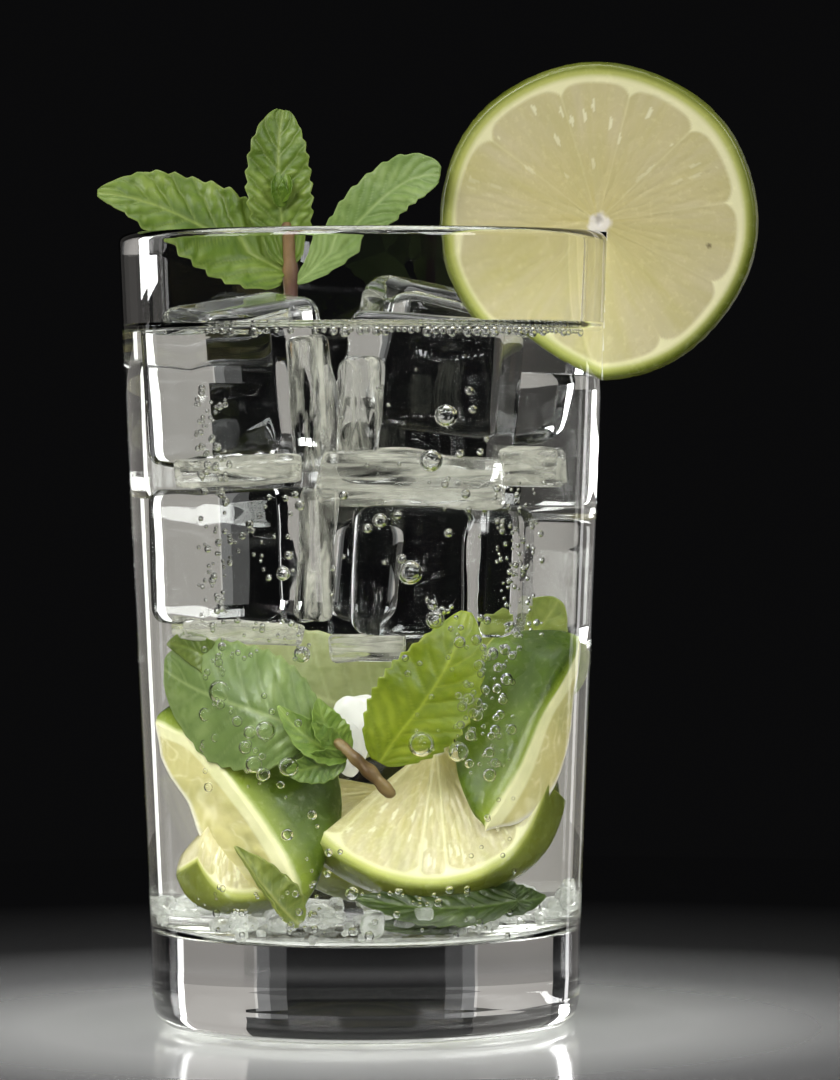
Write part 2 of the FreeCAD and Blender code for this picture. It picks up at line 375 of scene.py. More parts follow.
# ------------------------------------------------------------------ the glass
def inner_wall(add=0.0):
    pts = []
    for r, z in OUTER:
        if z < FLOOR_Z + FILLET + 6:
            continue
        t = WALL + 0.25 * max(0.0, (88.0 - z) / 88.0)
        pts.append((r - t + add, z))
    return [(pts[0][0] - 0.62, FLOOR_Z + FILLET)] + pts


def glass_profile():
    w, h = OUTER[0][0] - FOOT_R, OUTER[0][1]
    prof = [(0, 0), (8, 0), (16, 0), (24, 0), (29, 0), (30.4, 0)]
    prof += smooth_line([(FOOT_R, 0), (FOOT_R + w * 0.52, h * 0.13), (FOOT_R + w * 0.86, h * 0.46), (OUTER[0][0], h)], 8)[:-1]
    prof += smooth_line(OUTER, 7)[:-1]
    line = inner_wall()
    cx = (OUTER[-1][0] + line[-1][0]) / 2
    hw = (OUTER[-1][0] - line[-1][0]) / 2
    for k in range(0, 17):
        a = math.pi * k / 16
        prof.append((cx + hw * math.cos(a), OUTER[-1][1] + LIP * math.sin(a)))
    prof += smooth_line(line, 7)[::-1][1:]
    r0 = line[0][0]
    for k in range(1, 11):
        a = math.pi / 2 * k / 10
        prof.append((r0 - FILLET + FILLET * math.cos(a), FLOOR_Z + FILLET - FILLET * math.sin(a)))
    prof += [(20, FLOOR_Z), (12, FLOOR_Z), (5, FLOOR_Z), (0, FLOOR_Z)]
    return prof


v, f = revolve(glass_profile(), 224)
glass = build("glass_body", v, f, MAT["glass"])
fix_normals(glass)
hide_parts("glass")
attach(glass, "root")


# ------------------------------------------------------------------ ice
def rounded_box(size, edge, n=14, wave=0.35, seed=0.0, taper=0.0):
    """A cube of ice: rounded edges, uneven faces. Points about the middle, in mm, and faces."""
    bm = bmesh.new()
    bmesh.ops.create_cube(bm, size=2.0)
    bmesh.ops.subdivide_edges(bm, edges=bm.edges[:], cuts=n, use_grid_fill=True)
    pts = np.array([v.co[:] for v in bm.verts])
    faces = [[v.index for v in f.verts] for f in bm.faces]
    bm.free()
    half = np.array(size, float) / 2
    # spread the grid towards the edges so that the rounding gets enough rows
    s = np.sign(pts) * (1 - (1 - np.abs(pts)) ** 1.35)
    p = s * half
    core = np.clip(p, -(half - edge), half - edge)
    d = p - core
    ln = np.linalg.norm(d, axis=1, keepdims=True)
    ln[ln < 1e-9] = 1
    m = np.max(np.abs(d), axis=1, keepdims=True)
    p = core + d / ln * np.where(m > 1e-9, edge * np.minimum(1, m / edge), 0)
    if taper:
        p[:, :2] *= (1 + taper * p[:, 2:3] / half[2])
    nrm = p / np.maximum(np.linalg.norm(p, axis=1, keepdims=True), 1e-6)
    w = noise3(p + seed * 31, 9.0, seed) * wave + noise3(p + seed * 13, 4.0, seed + 2) * wave * 0.25
    return p + nrm * w[:, None], faces


def turned(p, z, x, y, to):
    m = Matrix.Rotation(math.radians(z), 3, "Z") @ Matrix.Rotation(math.radians(x), 3, "X") @ Matrix.Rotation(math.radians(y), 3, "Y")
    return np.asarray(p) @ np.array(m).T + np.array(to)


# size, middle, turn about Z X Y, rounding. The first three break the surface.
CUBES = {
    "ice_left": ((20.5, 19.5, 26.0), (-18.7, -10.4, 105.8), (24.0, 5.0, -9.0), 2.6),
    "ice_front": ((22.6, 21.0, 27.5), (8.6, -12.6, 102.4), (-3.0, -2.0, 4.0), 2.8),
    "ice_back": ((22.0, 21.0, 24.0), (10.8, 18.6, 109.8), (19.0, 8.0, 10.0), 4.2),
    "ice_low_left": ((20.5, 19.5, 22.0), (-18.3, -10.8, 78.0), (24.0, 2.0, -3.0), 2.6),
    "ice_low_front": ((24.0, 20.5, 21.0), (10.4, -12.0, 75.6), (2.0, 2.0, 2.0), 2.6),
    "ice_right": ((19.0, 20.0, 22.0), (24.6, 7.6, 96.5), (10.0, 0.0, 2.0), 3.0),
    "ice_low_right": ((20.0, 19.0, 22.0), (22.6, 9.0, 73.0), (-8.0, 3.0, 2.0), 3.0),
    "ice_low_inner": ((8.4, 8.0, 17.5), (0.2, 4.0, 75.5), (8.0, 3.0, 4.0), 3.6),
    "ice_back_left": ((21.0, 20.0, 23.0), (-16.0, 16.0, 98.5), (-14.0, 3.0, 4.0), 3.4),
}
ice_objects = {}
for i, (name, (size, at, turn, edge)) in enumerate(CUBES.items()):
    p, f = rounded_box(size, edge, wave=0.28, seed=i + 1)
    o = build(name + "_clear", turned(p, *turn, at), f, MAT["ice"])
    fix_normals(o)
    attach(o, "root")
    if name in nodes:
        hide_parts(name)
    ice_objects[name] = o


# ------------------------------------------------------------------ the drink
def drink_profile():
    add = 0.18
    line = inner_wall(add)
    r0 = line[0][0]
    f = FILLET
    prof = [(0, FLOOR_Z - add), (6, FLOOR_Z - add), (14, FLOOR_Z - add), (22, FLOOR_Z - add)]
    for k in range(10, 0, -1):
        a = math.pi / 2 * k / 10
        prof.append((r0 - f + f * math.cos(a), FLOOR_Z - add + f - f * math.sin(a)))
    full = smooth_line(line, 8)
    r_top = None
    for r, z in full:
        if z < LEVEL + 0.9:
            prof.append((r, z))
            r_top = r
    prof.append((r_top + 0.02, LEVEL + 1.25))
    for dr, dz in ((0.35, 1.15), (0.6, 0.75), (0.95, 0.42), (1.5, 0.18), (2.4, 0.04), (4.0, 0.0)):
        prof.append((r_top - dr, LEVEL + dz))
    prof += [(26, LEVEL), (16, LEVEL), (6, LEVEL), (0, LEVEL)]
    return prof


v, f = revolve(drink_profile(), 192)
drink = build("drink_clear", v, f, MAT["drink"])
fix_normals(drink)
# the drink's skin runs over the ice that breaks the surface
for name in ("ice_left", "ice_front", "ice_back"):
    size, at, turn, edge = CUBES[name]
    grown = tuple(s + 0.5 for s in size)
    p, f = rounded_box(grown, edge + 0.2, n=18, wave=0.28, seed=list(CUBES).index(name) + 1)
    tool = build("tool", turned(p, *turn, at), f)
    fix_normals(tool)
    m = drink.modifiers.new("join", "BOOLEAN")
    m.operation = "UNION"
    m.solver = "EXACT"
    m.object = tool
    bpy.context.view_layer.update()
    dg = bpy.context.evaluated_depsgraph_get()
    me = bpy.data.meshes.new_from_object(drink.evaluated_get(dg))
    drink.modifiers.clear()
    drink.data = me
    bpy.data.objects.remove(tool)
drink.data.materials.clear()
drink.data.materials.append(MAT["drink"])
drink.data.polygons.foreach_set("use_smooth", [True] * len(drink.data.polygons))
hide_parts("drink")
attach(drink, "root")


# ------------------------------------------------------------------ cut lime
PULP_A, PULP_B = srgb(208, 199, 136), srgb(222, 211, 178)
PITH, CORE = srgb(255, 250, 205), srgb(252, 246, 238)
RIND_IN, RIND, RIND_DARK = srgb(190, 194, 104), srgb(142, 150, 66), srgb(88, 98, 26)


def lerp(a, b, t):
    t = np.clip(np.asarray(t, float), 0, 1)[..., None]
    return np.asarray(a) * (1 - t) + np.asarray(b) * t


def cells(theta, r, seed, n=900, r_max=24.0):
    """Radial pulp cells on a polar grid: distance to the nearest cell's middle (0) to its edge (1), the gap to the next, a number for each cell."""
    rng = np.random.default_rng(seed)
    cr = r_max * np.sqrt(rng.random(n))
    ct = rng.random(n) * 2 * math.pi
    tint = rng.random(n)
    th, rr = theta[0], r[:, 0]
    best = np.full(theta.shape, 9.0)
    second = np.full(theta.shape, 9.0)
    who = np.zeros(theta.shape, int)
    for k in range(n):
        rows = np.nonzero(np.abs(rr - cr[k]) < 7.0)[0]
        turn = np.abs((th - ct[k] + math.pi) % (2 * math.pi) - math.pi)
        cols = np.nonzero(turn * max(cr[k], 2.0) < 3.2)[0]
        if not len(rows) or not len(cols):
            continue
        g = np.ix_(rows, cols)
        dt = (th[cols] - ct[k] + math.pi) % (2 * math.pi) - math.pi
        a = rr[rows][:, None] - cr[k]
        b = dt[None, :] * (0.5 * (rr[rows][:, None] + cr[k]))
        d = (a / 2.7) ** 2 + (b / 0.72) ** 2
        bb, ss = best[g], second[g]
        closer = d < bb
        second[g] = np.where(closer, bb, np.minimum(ss, d))
        best[g] = np.where(closer, d, bb)
        who[g] = np.where(closer, k, who[g])
    return np.sqrt(best), np.sqrt(second) - np.sqrt(best), tint[who]


def lime_face(theta, r, R, bounds, seed, pith=1.7, core=1.7, rind=1.15, cell_n=900, soft=0.0, dark=None):
    """Height above the cut plane (mm) and colour at polar places on a cut face of lime. soft: 1 for a smooth pale face,
    whose painted glints stay in its upper half. dark: the side where the rind is painted darker and wider, as shade.
    """
    b = np.array(bounds)
    n = len(b)
    th = np.mod(theta - b[0], 2 * math.pi)
    e = np.mod(b - b[0], 2 * math.pi)
    e = np.append(e, 2 * math.pi)
    k = np.clip(np.searchsorted(e, th, side="right") - 1, 0, n - 1)
    a0, a1 = e[k], e[k + 1]
    u = (th - a0) / (a1 - a0) * 2 - 1
    d_mem = np.minimum(th - a0, a1 - th) * r
    thick = pith * (0.62 + 0.30 * np.cos(theta - math.radians(60)))
    rf = R - rind - thick - (1.9 - 0.2 * soft) * np.abs(u) ** 6
    edge = rf - r
    f1, gap, tint = cells(theta, np.minimum(r, R), seed, cell_n, R - 1.5)
    mid = core + 0.45 * np.cos(theta - math.radians(150)) + 0.18 * np.sin(5 * theta)
    flesh = np.clip(edge / 0.5, 0, 1) * np.clip((d_mem - 0.10) / 0.25, 0, 1) * np.clip((r - mid) / 0.8, 0, 1)
    x, y = r * np.sin(theta), r * np.cos(theta)
    big = noise3(np.stack([x, y, 0 * x + seed], -1), 6.0, seed)
    streak = noise3(np.stack([np.cos(theta) * 9, np.sin(theta) * 9, r / 14.0], -1), 0.55, seed + 3)
    wide = noise3(np.stack([np.cos(theta) * 9, np.sin(theta) * 9, r / 20.0], -1), 1.6, seed + 8)
    col = lerp(PULP_A, PULP_B, 0.52 + (0.16 + 0.1 * (1 - soft)) * streak + 0.26 * wide + 0.18 * big + (0.10 + 0.25 * (1 - soft)) * (tint - 0.5))
    col = lerp(col, srgb(208, 196, 116), np.clip(0.55 + 0.5 * wide + 0.2 * streak, 0, 1) * np.clip((R * 0.62 - r) / (R * 0.5), 0, 1) * 0.75)
    col = lerp(col, PITH, np.clip(1 - gap / 0.12, 0, 1) * (0.30 - 0.24 * soft))
    # painted highlight: cream glints on some cells; on a soft face they are kept to the upper half, where the light
    # falls
    up = np.clip(1.7 * y / R - 0.1, 0, 1) if soft else 1.0
    painted_glint = (tint > 0.90) * (f1 < 0.42) * (r > 9) * (edge > 1.5)
    col = lerp(col, srgb(252, 248, 214), painted_glint * 0.85 * up)
    memb = np.clip(1 - (d_mem - 0.02) / (0.34 - 0.12 * soft), 0, 1) * (edge > 0)
    show = np.clip(0.50 - 0.38 * soft + 0.5 * (r / R) ** 4, 0, 1) * (1.0 - 0.75 * soft * np.clip(0.35 - 1.2 * y / R, 0, 1))
    col = lerp(col, PITH, memb * show)
    col = lerp(col, CORE, np.clip((mid + 0.35 - r) / 0.5, 0, 1))
    col = lerp(col, srgb(196, 190, 186), np.clip((0.7 - np.hypot(x - 0.15, (y - 0.3) * 0.55)) / 0.3, 0, 1) * 0.8)
    col = lerp(col, PITH, np.clip(1 - edge / 0.55, 0, 1))
    col = lerp(col, srgb(196, 200, 112), np.clip((r - (R - rind - 0.9)) / 0.9, 0, 1))
    # painted shade: towards the dark side the rind turns darker and its band on the cut face wider
    skin = lerp(RIND, RIND_DARK, np.clip(0.15 + 0.25 * big + (0 if dark is None else 0.95 * np.clip(np.cos(theta - dark) * 1.7 - 0.7, 0, 1)), 0, 1))
    near = 1.0 if dark is None else 1.0 + 0.7 * np.clip(np.cos(theta - dark) * 1.7 - 0.7, 0, 1)
    k2 = np.clip((r - (R - 0.95 * near)) / (0.7 * near), 0, 1)[..., None]
    col = col * (1 - k2) + skin * k2
    if soft:
        col = lerp(col, srgb(110, 98, 70), np.clip((0.5 - np.hypot(x - 18.6, y + 4.1)) / 0.2, 0, 1) * 0.8)
    h = -(0.22 - 0.15 * soft) * flesh + flesh * ((0.16 - 0.09 * soft) * (1 - np.minimum(f1, 1) ** 2)) + 0.05 * big
    h = h - 0.45 * np.clip((0.8 - r) / 0.8, 0, 1)
    return h, col


def lime_disc(name, R, T, bounds, seed, sector=None, bulge=0.7, nr=74, nt=400, cell_n=900, mat=None, soft=0.0, dark=None):
    """A slice of lime about its own middle: cut faces look to -Y and +Y, Z up. sector (from, to) in radians makes a piece of it."""
    full = sector is None
    t0, t1 = (0.0, 2 * math.pi) if full else sector
    nt = nt if full else max(40, int(nt * (t1 - t0) / (2 * math.pi)))
    th = np.linspace(t0, t1, nt, endpoint=not full)
    rr = (R - bulge) * (np.linspace(0.0, 1, nr) ** 0.85)
    rr[0] = 0.05
    TH, RR = np.meshgrid(th, rr)
    verts, cols, rows = [], [], []

    def add_row(x, y, z, c):
        rows.append(len(verts))
        for q in zip(x, y, z):
            verts.append(q)
        cols.extend([tuple(q) for q in c])

    hf, cf = lime_face(TH, RR * R / (R - bulge), R, bounds, seed, cell_n=cell_n, soft=soft, dark=dark)
    # the back face is mirrored, so its painted shade falls on the same side
    hb, cb = lime_face(-TH, RR * R / (R - bulge), R, [(-q) % (2 * math.pi) for q in bounds][::-1], seed + 11, cell_n=cell_n, soft=soft, dark=None if dark is None else -dark)
    wob = 1 + 0.006 * np.sin(3 * th + seed) + 0.004 * np.sin(7 * th + 2 * seed)
    for i in range(nr):
        w = 1 + (wob - 1) * (rr[i] / R)
        add_row(rr[i] * w * np.sin(th), -(T / 2 + hf[i]), rr[i] * w * np.cos(th), cf[i])
    for k in range(1, 14):
        a = k / 14.0
        y = -T / 2 + T * a
        r = R - bulge + bulge * math.sin(math.pi * a) ** 0.75
        pts = np.stack([r * np.sin(th), 0 * th + y, r * np.cos(th)], -1)
        dim = 0.11 * np.clip(noise3(pts, 0.9, seed), -1, 0.2)
        c = lerp(RIND, RIND_DARK, 0.35 + 0.3 * noise3(pts, 7.0, seed + 5) + 0.45 * math.sin(math.pi * a))
        rc = (r + dim) * wob
        add_row(rc * np.sin(th), 0 * th + y, rc * np.cos(th), c)
    for i in range(nr - 1, -1, -1):
        w = 1 + (wob - 1) * (rr[i] / R)
        add_row(rr[i] * w * np.sin(th), T / 2 + hb[i], rr[i] * w * np.cos(th), cb[i])
    faces = []
    n = len(rows)
    for a, b in zip(rows, rows[1:]):
        for k in range(nt if full else nt - 1):
            j = (k + 1) % nt
            faces.append((a + k, a + j, b + j, b + k))
    if full:
        c0 = len(verts)
        verts += [(0, -(T / 2 - 0.4), 0), (0, T / 2 - 0.4, 0)]
        cols += [CORE, CORE]
        for k in range(nt):
            j = (k + 1) % nt
            faces.append((rows[0] + j, rows[0] + k, c0))
            faces.append((rows[-1] + k, rows[-1] + j, c0 + 1))
    else:
        # the two radial cuts, as strips between the front and the back face, and the thin core between them
        m = 5
        ends = []
        for k in (0, nt - 1):
            front = [rows[i] + k for i in range(nr)]
            back = [rows[n - 1 - i] + k for i in range(nr)]
            rim = [rows[nr + i] + k for i in range(13)]
            grid = [front]
            for s in range(1, m):
                line = []
                for i in range(nr):
                    p = np.array(verts[front[i]]) * (1 - s / m) + np.array(verts[back[i]]) * (s / m)
                    line.append(len(verts))
                    verts.append(tuple(p))
                    cols.append(tuple(lerp(cols[front[i]], PULP_B, 0.5 if i < nr * 0.88 else 0.0)))
                grid.append(line)
            grid.append(back)
            for g0, g1 in zip(grid, grid[1:]):
                for i in range(nr - 1):
                    faces.append((g0[i], g0[i + 1], g1[i + 1], g1[i]))
            loop = [g[-1] for g in grid]
            faces.append(tuple([front[-1]] + rim + [back[-1]] + loop[::-1][1:-1]))
            ends.append([g[0] for g in grid])
        strip = [ends[0]]
        for k in range(1, nt - 1):
            col = [rows[0] + k]
            for s in range(1, m):
                p = np.array(verts[rows[0] + k]) * (1 - s / m) + np.array(verts[rows[-1] + k]) * (s / m)
                col.append(len(verts))
                verts.append(tuple(p))
                cols.append(CORE)
            strip.append(col + [rows[-1] + k])
        strip.append(ends[1])
        for g0, g1 in zip(strip, strip[1:]):
            for i in range(m):
                faces.append((g0[i], g1[i], g1[i + 1], g0[i + 1]))
    o = build(name, verts, faces, mat or MAT["lime"], colour=np.array(cols))
    fix_normals(o)
    return o


def place(o, yaw=0.0, pitch=0.0, roll=0.0, at=(0, 0, 0), scale=(1, 1, 1)):
    """Moves the points of a piece made about its own middle: spun by roll in its plane, leaned by pitch, turned by yaw."""
    m = Matrix.Rotation(math.radians(yaw), 4, "Z") @ Matrix.Rotation(math.radians(pitch), 4, "X") @ Matrix.Rotation(math.radians(roll), 4, "Y") @ Matrix.Diagonal((*scale, 1))
    o.data.transform(Matrix.Translation(Vector(at) * MM) @ m)
    o.data.update()


wheel_bounds = [math.radians(a) for a in (14.5, 46, 82, 118, 152, 186, 222, 262, 308, 344)]
# dark at 122 degrees paints shade on the lower-right rind of the wheel
wheel = lime_disc("lime_wheel_cut", WHEEL_R, WHEEL_T, wheel_bounds, 4, soft=1.0, dark=math.radians(122))
# the slit that straddles the wall of the glass
slit = build("tool", *rounded_box((3.2, 12, 40), 0.05, n=2, wave=0.0))
slope = math.degrees(math.atan((RIM_R - 39.4) / (HEIGHT - LIP - 110.0)))
place(slit, roll=0, at=(0, 0, -20))
place(slit, roll=slope, at=(RIM_R - WALL / 2 - WHEEL_AT[0], 0, -1.6))
m = wheel.modifiers.new("slit", "BOOLEAN")
m.operation = "DIFFERENCE"
m.solver = "EXACT"
m.object = slit
bpy.context.view_layer.update()
me = bpy.data.meshes.new_from_object(wheel.evaluated_get(bpy.context.evaluated_depsgraph_get()))
wheel.modifiers.clear()
wheel.data = me
bpy.data.objects.remove(slit)
place(wheel, yaw=-3.0, pitch=3.0, at=WHEEL_AT)
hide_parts("lime_wheel")
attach(wheel, "root")


# ------------------------------------------------------------------ mint
GREEN_D, GREEN, GREEN_L = srgb(62, 92, 20), srgb(106, 138, 40), srgb(158, 180, 82)


def bezier(points, t):
    pts = [np.array(p, float) for p in points]
    while len(pts) > 1:
        pts = [a * (1 - t) + b * t for a, b in zip(pts, pts[1:])]
    return pts[0]


def leaf_width(t, peak=0.42, sharp=0.86):
    a = sharp * peak / (1 - peak)
    return t ** a * (1 - t) ** sharp / (peak ** a * (1 - peak) ** sharp)


def leaf(name, spine, width, face, teeth=11, tooth=0.055, cup=0.16, wave=0.03, twist=0.0, thick=0.42, pucker=0.55,
         dark=GREEN_D, mid=GREEN, light=GREEN_L, mat=None, seed=1, nu=108, nv=34, veins=7, peak=0.42, sharp=0.86, fade=0.0):
    """A mint leaf with serrated edge, sunken veins and puckers between them, as a closed thin shell."""
    T = np.linspace(0.015, 0.988, nu)
    W = np.linspace(-1, 1, nv + 1)
    top, low, col = [], [], []
    for t in T:
        p = bezier(spine, t)
        d = bezier(spine, min(1, t + 0.01)) - bezier(spine, max(0, t - 0.01))
        d /= np.linalg.norm(d)
        side = np.cross(d, np.array(face, float))
        side /= np.linalg.norm(side)
        up = np.cross(side, d)
        a = math.radians(twist * (t - 0.3))
        side, up = side * math.cos(a) + up * math.sin(a), up * math.cos(a) - side * math.sin(a)
        lw = leaf_width(t, peak, sharp)
        # teeth: slow rise, quick fall, leaning to the tip
        ph = (t * teeth) % 1.0
        saw = (ph / 0.72 if ph < 0.72 else (1 - ph) / 0.28) * 2 - 1
        ta = tooth * min(1.0, 7 * t * (1 - t))
        w = width / 2 * lw * (1 + ta * saw)
        lift = cup * width * (W * W - 0.35) * lw + wave * width * np.sin(5.5 * t * math.pi + np.where(W > 0, 1.3, 0.0)) * np.abs(W) * lw
        # veins run from the midrib forward to the edge
        av = np.abs(W)
        q = (t - 0.30 * av * (1 - t * 0.4)) * veins * 1.15 + np.where(W > 0, 0.37, 0.0)
        vein = np.abs((q % 1.0) - 0.5) * 2            # 1 on a vein, 0 between
        on_vein = np.clip((vein - 0.80) / 0.20, 0, 1)
        rib = np.clip(1 - av * lw * width / 2 / 0.55, 0, 1)
        fill = (1 - vein ** 2.2) * np.clip(av * 3.2, 0, 1) * np.clip((1 - av) * 3.5 + 0.25, 0, 1)
        pts = np.stack([np.full_like(W, t * 60.0) + seed * 7, W * width * 0.5 * lw, 0 * W], -1)
        small = noise3(pts, 1.7, seed)
        bump = pucker * (fill * (0.75 + 0.35 * small) - 0.35 * on_vein * (1 - av * 0.5) - 0.5 * rib * (1 - t * 0.6))
        base = p + np.outer(w * W, side) + np.outer(lift, up)
        th = thick * (1 - 0.55 * av)
        top.append(base + np.outer(bump * lw ** 0.5 * 0.8 + th / 2, up))
        low.append(base + np.outer(bump * lw ** 0.5 * 0.8 - th / 2, up))
        big = noise3(pts, 7.0, seed + 4)
        c = lerp(dark, mid, 0.35 + 0.5 * fill + 0.25 * big)
        c = lerp(c, light, np.clip(0.20 + 0.30 * small + 0.35 * big, 0, 0.5) * fill)
        c = lerp(c, light, np.maximum(on_vein * 0.55 * (1 - 0.3 * av), rib * 0.75))
        c = lerp(c, light, np.clip((av - 0.90) / 0.1, 0, 1) * 0.5)
        if fade:
            c = lerp(c, light, fade)
        col.append(c)
    n, m = len(T), len(W)
    verts = np.concatenate([np.array(top).reshape(-1, 3), np.array(low).reshape(-1, 3)])
    cols = np.concatenate([np.array(col).reshape(-1, 3), lerp(np.array(col).reshape(-1, 3), light, 0.25)])
    k = n * m
    faces = []
    for i in range(n - 1):
        for j in range(m - 1):
            a, b, c, d = i * m + j, i * m + j + 1, (i + 1) * m + j + 1, (i + 1) * m + j
            faces.append((a, b, c, d))
            faces.append((d + k, c + k, b + k, a + k))
        a, d = i * m, (i + 1) * m
        faces.append((a, d, d + k, a + k))
        a, d = i * m + m - 1, (i + 1) * m + m - 1
        faces.append((d, a, a + k, d + k))
    for j in range(m - 1):
        faces.append((j + 1, j, j + k, j + 1 + k))
        a = (n - 1) * m + j
        faces.append((a, a + 1, a + 1 + k, a + k))
    return build(name, verts, faces, mat or MAT["leaf"], colour=cols)


def tube(name, points, radii, mat, cols, n=14, per=8, rough=0.0, seed=0):
    """A stalk along points with the radius of each, round at both ends."""
    line = np.array(smooth_line(points, per))
    rad = np.interp(np.linspace(0, 1, len(line)), np.linspace(0, 1, len(radii)), radii)
    d = np.gradient(line, axis=0)
    d /= np.linalg.norm(d, axis=1, keepdims=True)
    ref = np.array([0.3, -1.0, 0.2])
    verts, cc, rows = [], [], []

    def ring(c, s, u, r, t):
        rows.append(len(verts))
        for k in range(n):
            a = 2 * math.pi * k / n
            rr = r * (1 + rough * math.sin(3 * a + 9 * t + seed) + rough * math.sin(23 * t + seed))
            verts.append(tuple(c + (s * math.cos(a) + u * math.sin(a)) * rr))
            cc.append(tuple(lerp(cols[0], cols[1], 0.5 + 0.5 * math.sin(a + 7 * t + seed))))

    for i, c in enumerate(line):
        s = np.cross(d[i], ref)
        s /= np.linalg.norm(s)
        u = np.cross(s, d[i])
        t = i / (len(line) - 1)
        if i == 0:
            for q in (0.35, 0.75):
                ring(c - d[i] * rad[i] * math.cos(q * math.pi / 2) * 0.9, s, u, rad[i] * math.sin(q * math.pi / 2), t)
        ring(c, s, u, rad[i], t)
        if i == len(line) - 1:
            for q in (0.75, 0.35):
                ring(c + d[i] * rad[i] * math.cos(q * math.pi / 2) * 0.9, s, u, rad[i] * math.sin(q * math.pi / 2), t)
    faces = []
    for a, b in zip(rows, rows[1:]):
        for k in range(n):
            j = (k + 1) % n
            faces.append((a + k, a + j, b + j, b + k))
    faces.append(tuple(range(rows[0] + n - 1, rows[0] - 1, -1)))
    faces.append(tuple(range(rows[-1], rows[-1] + n)))
    return build(name, verts, faces, mat, colour=np.array(cc))


def join(name, objs):
    """One piece from several."""
    bm = bmesh.new()
    for o in objs:
        me = o.data
        bm.from_mesh(me)
    out = bpy.data.meshes.new(name)
    bm.to_mesh(out)
    bm.free()
    out.materials.append(objs[0].data.materials[0])
    out.polygons.foreach_set("use_smooth", [True] * len(out.polygons))
    o = bpy.data.objects.new(name, out)
    scene.collection.objects.link(o)
    for q in objs:
        bpy.data.objects.remove(q)
    return o


STEM_A, STEM_B = srgb(104, 70, 66), srgb(156, 124, 88)
MINT_D, MINT, MINT_L = srgb(76, 102, 26), srgb(114, 140, 46), srgb(166, 182, 98)
bits = [
    leaf("a", [(-12.2, 2.2, 123.8), (-24.2, -0.5, 129.9), (-33.0, -3.0, 137.0), (-43.8, -3.0, 136.8)], 15.2, (-0.15, -0.85, 0.50), teeth=12, cup=0.10, twist=-10.0, dark=MINT_D, mid=MINT, light=MINT_L, seed=2, peak=0.36, sharp=0.72, pucker=0.7),
    leaf("b", [(-12.3, 2.2, 124.8), (-13.4, 0.8, 133.0), (-14.8, 1.2, 142.0), (-13.0, 3.4, 151.0)], 10.8, (0.05, -1.0, 0.12), cup=0.15, twist=6.0, dark=MINT_D, mid=MINT, light=MINT_L, seed=3, peak=0.50, sharp=0.54, pucker=0.7),
    leaf("c", [(-11.3, 2.2, 121.9), (-2.0, -1.0, 128.6), (3.9, -4.5, 141.0), (13.0, -6.2, 139.4)], 9.4, (-0.30, -0.90, 0.15), cup=0.10, twist=8.0, dark=srgb(106, 134, 66), mid=srgb(138, 162, 92), light=srgb(176, 194, 128), pucker=0.4, seed=5, peak=0.62, sharp=0.46, veins=9),
    leaf("e", [(-13.2, 1.0, 134.6), (-13.6, -0.4, 136.6), (-14.0, -0.2, 138.6), (-13.8, 0.6, 140.4)], 2.8, (0.05, -1.0, 0.12), cup=0.35, teeth=4, dark=srgb(64, 96, 20), mid=srgb(88, 120, 30), light=srgb(130, 156, 60), seed=6, nu=40, nv=16, pucker=0.15),
    leaf("f", [(-13.2, 0.8, 135.6), (-12.4, -0.8, 137.0), (-12.0, -0.6, 138.6), (-12.6, 0.4, 140.0)], 2.4, (-0.4, -0.9, 0.12), cup=0.35, teeth=4, dark=srgb(70, 104, 22), mid=srgb(100, 132, 36), light=srgb(140, 166, 66), seed=7, nu=40, nv=16, pucker=0.15),
    tube("d", [(-11.4, 3.4, 110.5), (-11.8, 3.0, 118.0), (-12.0, 2.4, 124.5), (-12.5, 1.8, 131.5)], [1.2, 1.15, 1.3, 0.9], MAT["leaf"], (STEM_A, STEM_B), rough=0.05),
]
sprig = join("mint_sprig_fresh", bits)
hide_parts("mint_sprig")
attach(sprig, "root")


def inside(o, gap=0.35, soft=2.2):
    """Presses a sunk piece softly inside the wall and off the floor of the glass."""
    n = len(o.data.vertices)
    q = np.empty(n * 3, np.float32)
    o.data.vertices.foreach_get("co", q)
    q = q.reshape(-1, 3).astype(float) / MM
    zz = np.array([z for r, z in OUTER])
    lim = np.interp(np.clip(q[:, 2], 20, 128), zz, [r for r, z in OUTER]) - WALL - 0.25 - gap
    lim = lim - np.clip((FLOOR_Z + FILLET - q[:, 2]) / FILLET, 0, 1) ** 2 * 2.0
    h = np.hypot(q[:, 0], q[:, 1])
    over = h - (lim - soft)
    new = np.where(over > 0, lim - soft + soft * (1 - np.exp(-np.clip(over, 0, None) / soft)), h)
    q[:, :2] *= (new / np.maximum(h, 1e-6))[:, None]
    low = FLOOR_Z + 0.5
    under = low + 1.5 - q[:, 2]
    q[:, 2] = np.where(under > 0, low + 1.5 * np.exp(-np.clip(under, 0, None) / 1.5), q[:, 2])
    o.data.vertices.foreach_set("co", (q * MM).astype(np.float32).ravel())
    o.data.update()


